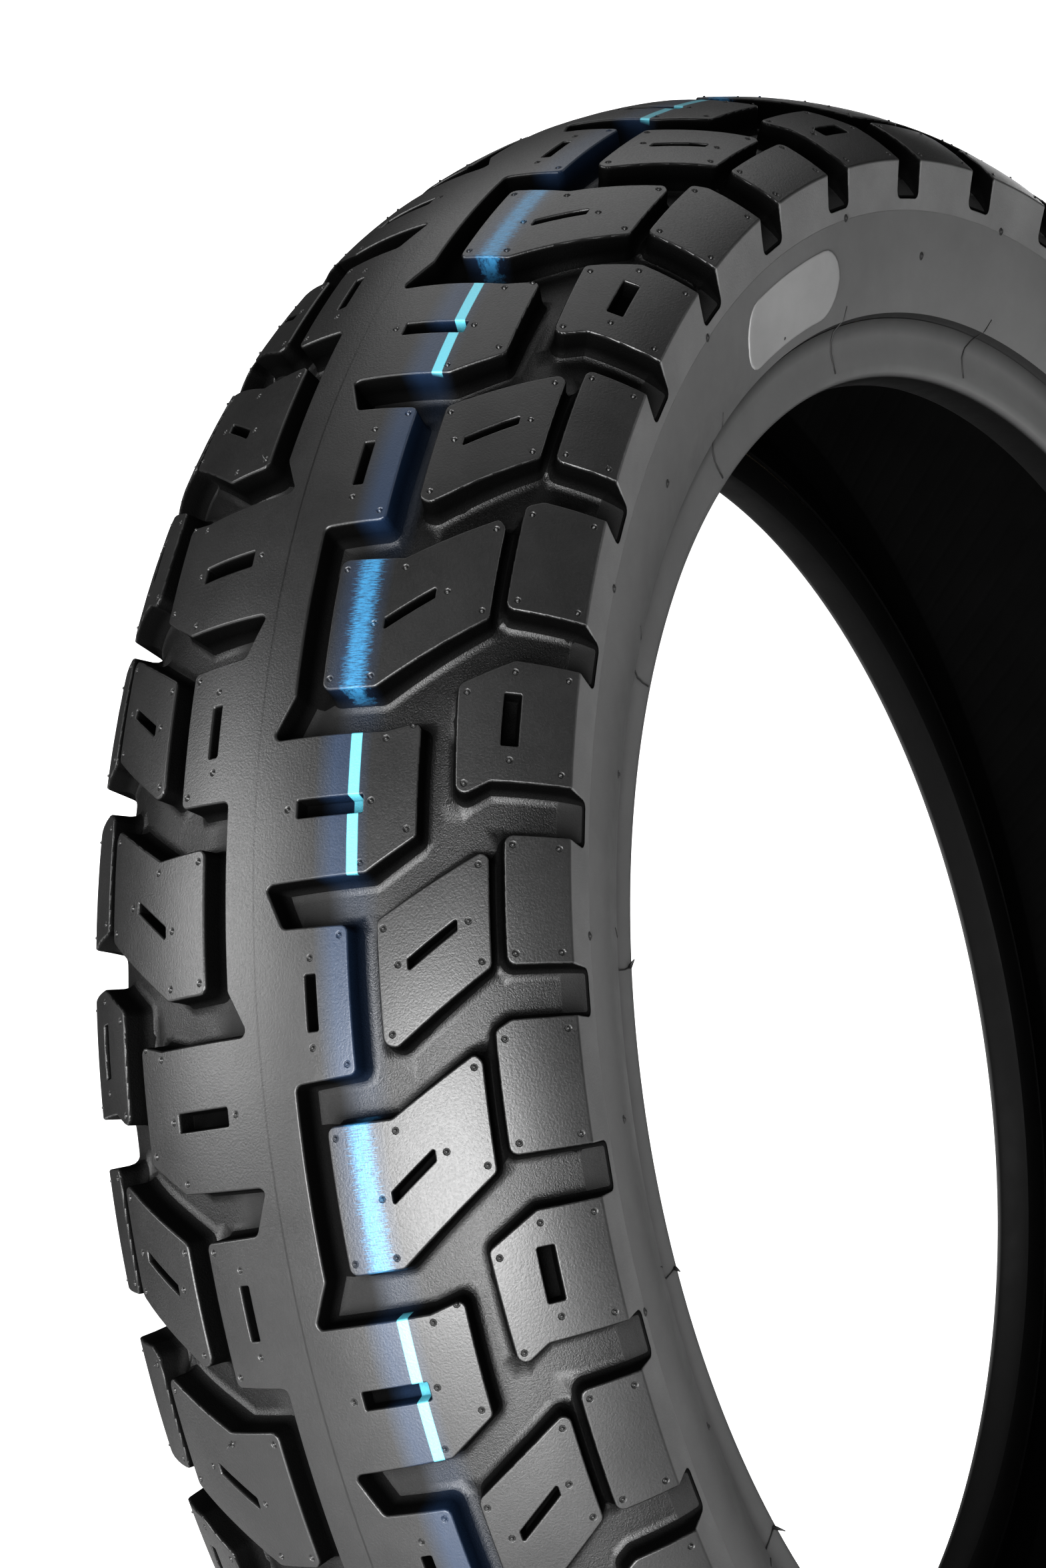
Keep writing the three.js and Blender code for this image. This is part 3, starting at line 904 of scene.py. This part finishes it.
class TreadShader(Shader):
    """The tread's rubber, which reads from the pattern attribute where it is on the tread."""

    def __init__(self, name, gloss):
        super().__init__(name, Specular_IOR_Level=gloss)
        pattern = self.node("Attribute", attribute_name="pattern").outputs["Color"]
        parts = self.node("SeparateColor", {0: pattern}).outputs
        self.u = self.math("MULTIPLY_ADD", parts[0], PATTERN_WIDTH, -PATTERN_WIDTH / 2)
        self.t = self.math("MULTIPLY_ADD", parts[1], PERIOD, PATTERN_LOW)
        self.depth = parts[2]
        off_centre = self.math("ABSOLUTE", self.u)
        near_rib = self.remap(off_centre, 19.0, 27.0, 1.0, 0.0)
        above_floor = self.remap(self.depth, 0.55, 0.85, 1.0, 0.0)
        self.buttress = self.remap(off_centre, 92.9, 93.6, 0.0, 1.0)
        self.in_groove = self.remap(self.depth, 0.02, 0.12, 0.0, 1.0)
        self.on_wall = self.math("MULTIPLY", self.in_groove, above_floor)
        self.by_rib = self.math("MULTIPLY", self.in_groove, near_rib)
        self.grain = self.noise(1500.0, 2.0, 0.6)
        self.coarse = self.noise(1900.0, 3.0, 0.7)

    def between(self, value, low, high, soft):
        """1 from low to high, falling to 0 over a soft edge on both sides."""
        rise = self.remap(value, low - soft, low, 0.0, 1.0)
        fall = self.remap(value, high, high + soft, 1.0, 0.0)
        return self.math("MULTIPLY", rise, fall)

    def rubber_color(self):
        """Black on top, with painted shade making the grooves blacker and their walls blacker still, and a
        greyer buttress.
        """
        mottle = self.noise(45.0, 4.0, 0.6)
        top = self.ramp(mottle, [(0.3, 0.010), (0.7, 0.015)])
        side = self.ramp(mottle, [(0.3, 0.095), (0.7, 0.12)])
        # Painted shade: darker in the grooves, and darkest on their walls and upper fillets.
        color = self.mix(self.in_groove, self.mix(self.buttress, top, side), (0.006, 0.006, 0.006))
        return self.mix(self.on_wall, color, (0.002, 0.002, 0.002))

    def smear(self):
        """Streaks of paint on the block beside the rib."""
        stretch = {0: self.math("MULTIPLY", self.u, 0.35), 1: self.math("MULTIPLY", self.t, 15.0)}
        streak = self.noise(1.0, 3.0, 0.7, self.node("CombineXYZ", stretch).outputs[0])
        streak = self.remap(streak, 0.38, 0.62, 0.0, 1.0)
        amount = self.math("MULTIPLY_ADD", streak, 0.75, self.between(self.u, 27.0, 30.0, 4.0))
        amount = self.remap(amount, 0.75, 1.5, 0.0, 1.0)
        return self.math("MULTIPLY", amount, self.between(self.t, -20.9, -13.0, 0.1))

    def marked(self, color):
        """The marking line's paint on the near half: a haze, the smear, and the line itself."""
        haze_depth = self.remap(self.depth, 0.0, 0.9, 1.0, 0.45)
        haze = self.math("MULTIPLY", self.between(self.u, 25.0, 30.0, 6.0), haze_depth)
        color = self.mix(self.math("MULTIPLY", haze, 0.30), color, HAZE_COLOR)
        fading = self.remap(self.depth, 0.0, 0.9, 1.0, 0.35)
        color = self.mix(self.math("MULTIPLY", self.smear(), fading), color, SMEAR_COLOR)
        along = self.between(self.t, -0.66, 6.9, 0.03)
        line = self.math("MULTIPLY", self.between(self.u, 29.6, 32.6, 0.25), along)
        return self.mix(self.math("MULTIPLY", line, fading), color, LINE_COLOR)

    def seamed(self, color):
        """The ragged line that the mould's halves leave round the equator."""
        ragged = self.math("MULTIPLY_ADD", self.noise(260.0, 3.0, 0.7), 0.36, self.u)
        seam = self.math("LESS_THAN", self.math("ABSOLUTE", ragged), 0.32)
        return self.mix(self.math("MULTIPLY", seam, 0.85), color, (0.003, 0.003, 0.003))

    def roughness(self):
        """Dullest on the buttress, and next in the grooves beside the rib."""
        top = self.remap(self.grain, 0.3, 0.7, 0.35, 0.45)
        groove = self.remap(self.coarse, 0.35, 0.65, 0.30, 0.52)
        value = self.blend(self.in_groove, top, groove)
        value = self.blend(self.on_wall, value, 0.62)
        value = self.blend(self.buttress, value, 0.9)
        return self.blend(self.by_rib, value, 0.85)

    def relief(self):
        """A fine grain everywhere, and a coarse one that is mostly in the grooves."""
        fine = self.bump(self.grain, 0.00010, 0.8)
        strength = self.math("MULTIPLY_ADD", self.in_groove, 0.9, 0.1)
        return self.bump(self.math("MULTIPLY", self.coarse, strength), 0.00018, 1.0, fine)


def tread_rubber(name, gloss):
    shade = TreadShader(name, gloss)
    shade.to("Base Color", shade.seamed(shade.marked(shade.rubber_color())))
    shade.to("Roughness", shade.roughness())
    shade.to("Normal", shade.relief())
    return shade.material


def side_rubber(name, low, high, roughness, gloss=0.5, painted_inside_shade=False):
    """Mottled rubber with painted shade along the step between bead and sidewall, and painted shade on the
    bead's inner part if asked for.
    """
    shade = Shader(name, Specular_IOR_Level=gloss)
    grain = shade.noise(1300.0, 2.0, 0.6)
    waves = shade.noise(90.0, 3.0, 0.5)
    color = shade.ramp(shade.noise(16.0, 5.0, 0.62), [(0.25, low), (0.75, high)])
    if painted_inside_shade:
        # Painted shade on the bead's inner part, nearer the middle plane than the sidewall.
        across = shade.math("ABSOLUTE", shade.axes()[1])
        color = shade.mix(shade.remap(across, *BEAD_SHADE_RANGE, 1.0, 0.0), color, INSIDE_SHADE_COLOR)
    # Painted shade along the step under the sidewall, darkest just below it and fading downward.
    begins, full, ends = CREASE_SHADE_RADII
    radius = shade.radius()
    crease_shade = shade.remap(radius, begins, full, 0.0, 0.85)
    crease_shade = shade.math("MULTIPLY", crease_shade, shade.math("LESS_THAN", radius, ends))
    shade.to("Base Color", shade.mix(crease_shade, color, CREASE_SHADE_COLOR))
    shade.to("Roughness", shade.remap(waves, 0.3, 0.7, roughness - 0.06, roughness + 0.05))
    fine = shade.bump(grain, 0.00005, 0.5)
    shade.to("Normal", shade.bump(waves, 0.00025, 0.35, fine))
    return shade.material


def liner_rubber():
    """Nearly black: black rubber darkened further as painted shade for the inside of the tyre, with the
    slanting ribs that the curing bladder leaves.
    """
    shade = Shader("liner_rubber", Roughness=0.8, Specular_IOR_Level=0.12)
    ribs = shade.math("POWER", shade.cords(95.0, 260.0), 12.0)
    shade.to("Base Color", shade.ramp(shade.noise(30.0, 4.0, 0.6), [(0.3, 0.002), (0.7, 0.004)]))
    shade.to("Normal", shade.bump(ribs, 0.0004, 0.4))
    return shade.material


def cord_fabric(name, slant, color):
    """Parallel cords under a thin skin of rubber."""
    shade = Shader(name, Roughness=0.8, IOR=1.45)
    cords = shade.cords(700.0, slant)
    dark = tuple(channel * 0.35 for channel in color)
    shade.to("Base Color", shade.ramp(cords, [(0.15, dark), (0.75, color)]))
    shade.to("Normal", shade.bump(cords, 0.0003, 0.8))
    return shade.material


def bead_steel():
    """Bronze-plated wire wound side by side."""
    shade = Shader("bead_steel_wire", Metallic=1.0)
    wires = shade.cords(0.0, 2600.0)
    shade.to("Base Color", shade.ramp(wires, [(0.1, (0.12, 0.08, 0.04)), (0.7, (0.55, 0.38, 0.20))]))
    shade.to("Roughness", shade.remap(shade.noise(400.0), 0.3, 0.7, 0.3, 0.5))
    shade.to("Normal", shade.bump(wires, 0.0004, 0.9))
    return shade.material


# ---- Assembly ----
def settle(obj, slot, *nodes):
    """Fixes an object to the tyre, in place of the CAD nodes that are named, which it hides. The slot is not
    used.
    """
    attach(obj, "root")
    if nodes:
        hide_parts(*nodes)


def build_tread():
    top = tread_rubber("tread_rubber_moulded", 0.5)
    # A low-gloss copy of the same rubber, as painted shade on the groove walls and beside the rib.
    walls = tread_rubber("tread_rubber_shaded_walls", 0.04)
    settle(tread_cap([top, walls]), "tread_rubber", "tread_cap")


def build_layers():
    inner = side_rubber("inner_rubber_compound", *INNER_RUBBER)
    belt_right = cord_fabric("belt_cords_right", 5000.0, (0.20, 0.17, 0.12))
    belt_left = cord_fabric("belt_cords_left", -5000.0, (0.20, 0.17, 0.12))
    ply = cord_fabric("carcass_cords", 900.0, (0.23, 0.20, 0.15))
    sheets = [
        ("tread_base", crown_sheet(BASE_TOP, BASE), inner, "inner_rubber"),
        ("belt_outer", crown_sheet(OUTER_BELT_TOP, BELT), belt_right, "belt_fabric"),
        ("belt_inner", crown_sheet(INNER_BELT_TOP, BELT), belt_left, "belt_fabric"),
        ("carcass_ply_outer", layer_outline(BEAD_PATH, 0.0, PLY), ply, "ply_fabric"),
        ("carcass_ply_inner", layer_outline(BEAD_PATH, PLY + GAP, PLY), ply, "ply_fabric"),
        ("inner_liner", layer_outline(LINER_PATH, 2 * (PLY + GAP), LINER), liner_rubber(), "inner_rubber"),
    ]
    for node, outline, material, slot in sheets:
        settle(lathe("finished_" + node, outline, material), slot, node)


def build_sides():
    wall = side_rubber("sidewall_rubber", 0.090, 0.116, 0.6, gloss=0.15)
    bead = side_rubber("bead_rubber", 0.090, 0.116, 0.6, gloss=0.15, painted_inside_shade=True)
    inner = side_rubber("filler_rubber", *INNER_RUBBER)
    pairs = [
        ("belt_edge_strip", belt_edge_strip(), inner, "inner_rubber"),
        ("sidewall", SIDEWALL, wall, "side_rubber"),
        ("rim_strip", RIM_STRIP, bead, "side_rubber"),
        ("bead_core", BEAD_CORE, bead_steel(), "bead_steel"),
        ("bead_filler", BEAD_FILLER, inner, "inner_rubber"),
    ]
    plate = side_rubber("panel_rubber", 0.18, 0.22, 0.65, gloss=0.15)
    settle(blank_panel(plate), "side_rubber")
    for name in SIDES:
        # The flash lines take the dark inner rubber as painted shade along them.
        settle(flash_lines(name, inner), "side_rubber")
        settle(wall_pips(name, inner), "side_rubber")
    settle(mould_hairs(inner), "tread_rubber")
    for node, outline, material, slot in pairs:
        settle(lathe(f"finished_{node}_far", outline, material), slot, node + "_far")
        settle(lathe(f"finished_{node}_near", mirrored(outline), material), slot, node + "_near")


# ---- Studio. Lengths here are metres ----
FLOOR_HALF = 8.0
BACKDROP = 1.2  # brightness of the world to the camera
FILL_LIGHT = 0.05  # brightness of the world to everything else
LIGHTS = [  # name, place, the point it faces, width and power
    ("low_key", (-1.13, -0.30, -0.16), (-0.28, -0.05, -0.03), 0.80, 35.0),
    ("far_fill", (-1.4, 1.25, 0.65), (-0.2, 0.0, 0.05), 1.1, 31.0),
    ("side_fill", (1.0, -2.2, 1.2), (0.0, 0.0, 0.1), 1.2, 14.0),
    ("overhead", (0.2, 0.05, 1.5), (0.0, 0.0, 0.3), 1.5, 10.0),
    ("back_fill", (1.7, 0.3, 0.3), (0.3, 0.0, 0.0), 1.0, 10.0),
]
CAMERA_PLACE = (-1.57208, -0.8900, 0.0328)
CAMERA_TURN = (92.9163, 8.2504, -57.2371)  # degrees
CAMERA_LENS = 126.5
CAMERA_SHIFT = (0.0077, -0.0301)


def build_floor():
    """A plain white floor that glows to the camera and casts no shadow."""
    ends = ((-1, -1), (1, -1), (1, 1), (-1, 1))
    corners = [(x * FLOOR_HALF, y * FLOOR_HALF, -OUTER_RADIUS * MM) for x, y in ends]
    mesh = bpy.data.meshes.new("floor")
    mesh.from_pydata(corners, [], [(0, 1, 2, 3)])
    paint = Shader("floor_paint", Base_Color=(0.9, 0.9, 0.9, 1.0), Roughness=0.9)
    paint.to("Emission Strength", paint.node("LightPath").outputs["Is Camera Ray"])
    mesh.materials.append(paint.material)
    floor = new_object("floor", mesh)
    floor.visible_shadow = False


def build_world():
    """A bright backdrop that gives the tyre only a little light."""
    world = bpy.data.worlds.new("studio")
    world.use_nodes = True
    tree = world.node_tree
    fill = tree.nodes["Background"]
    fill.inputs["Color"].default_value = (1.0, 1.0, 1.0, 1.0)
    ray = tree.nodes.new("ShaderNodeLightPath")
    strength = tree.nodes.new("ShaderNodeMapRange")
    strength.inputs["To Min"].default_value = FILL_LIGHT
    strength.inputs["To Max"].default_value = BACKDROP
    tree.links.new(ray.outputs["Is Camera Ray"], strength.inputs["Value"])
    tree.links.new(strength.outputs[0], fill.inputs["Strength"])
    bpy.context.scene.world = world


def build_light(name, place, target, width, power):
    data = bpy.data.lights.new(name, "AREA")
    data.size = width
    data.energy = power
    light = new_object(name, data)
    light.location = place
    light.rotation_euler = (Vector(target) - Vector(place)).to_track_quat("-Z", "Y").to_euler()
    light.visible_camera = False


def build_camera():
    data = bpy.data.cameras.new("camera")
    data.lens = CAMERA_LENS
    data.shift_x, data.shift_y = CAMERA_SHIFT
    camera = new_object("camera", data)
    camera.location = CAMERA_PLACE
    camera.rotation_euler = [math.radians(angle) for angle in CAMERA_TURN]
    bpy.context.scene.camera = camera


build_camera()
build_floor()
build_world()
for light in LIGHTS:
    build_light(*light)
bpy.context.scene.view_settings.view_transform = "Standard"
bpy.context.scene.view_settings.look = "High Contrast"
build_tread()
build_layers()
build_sides()
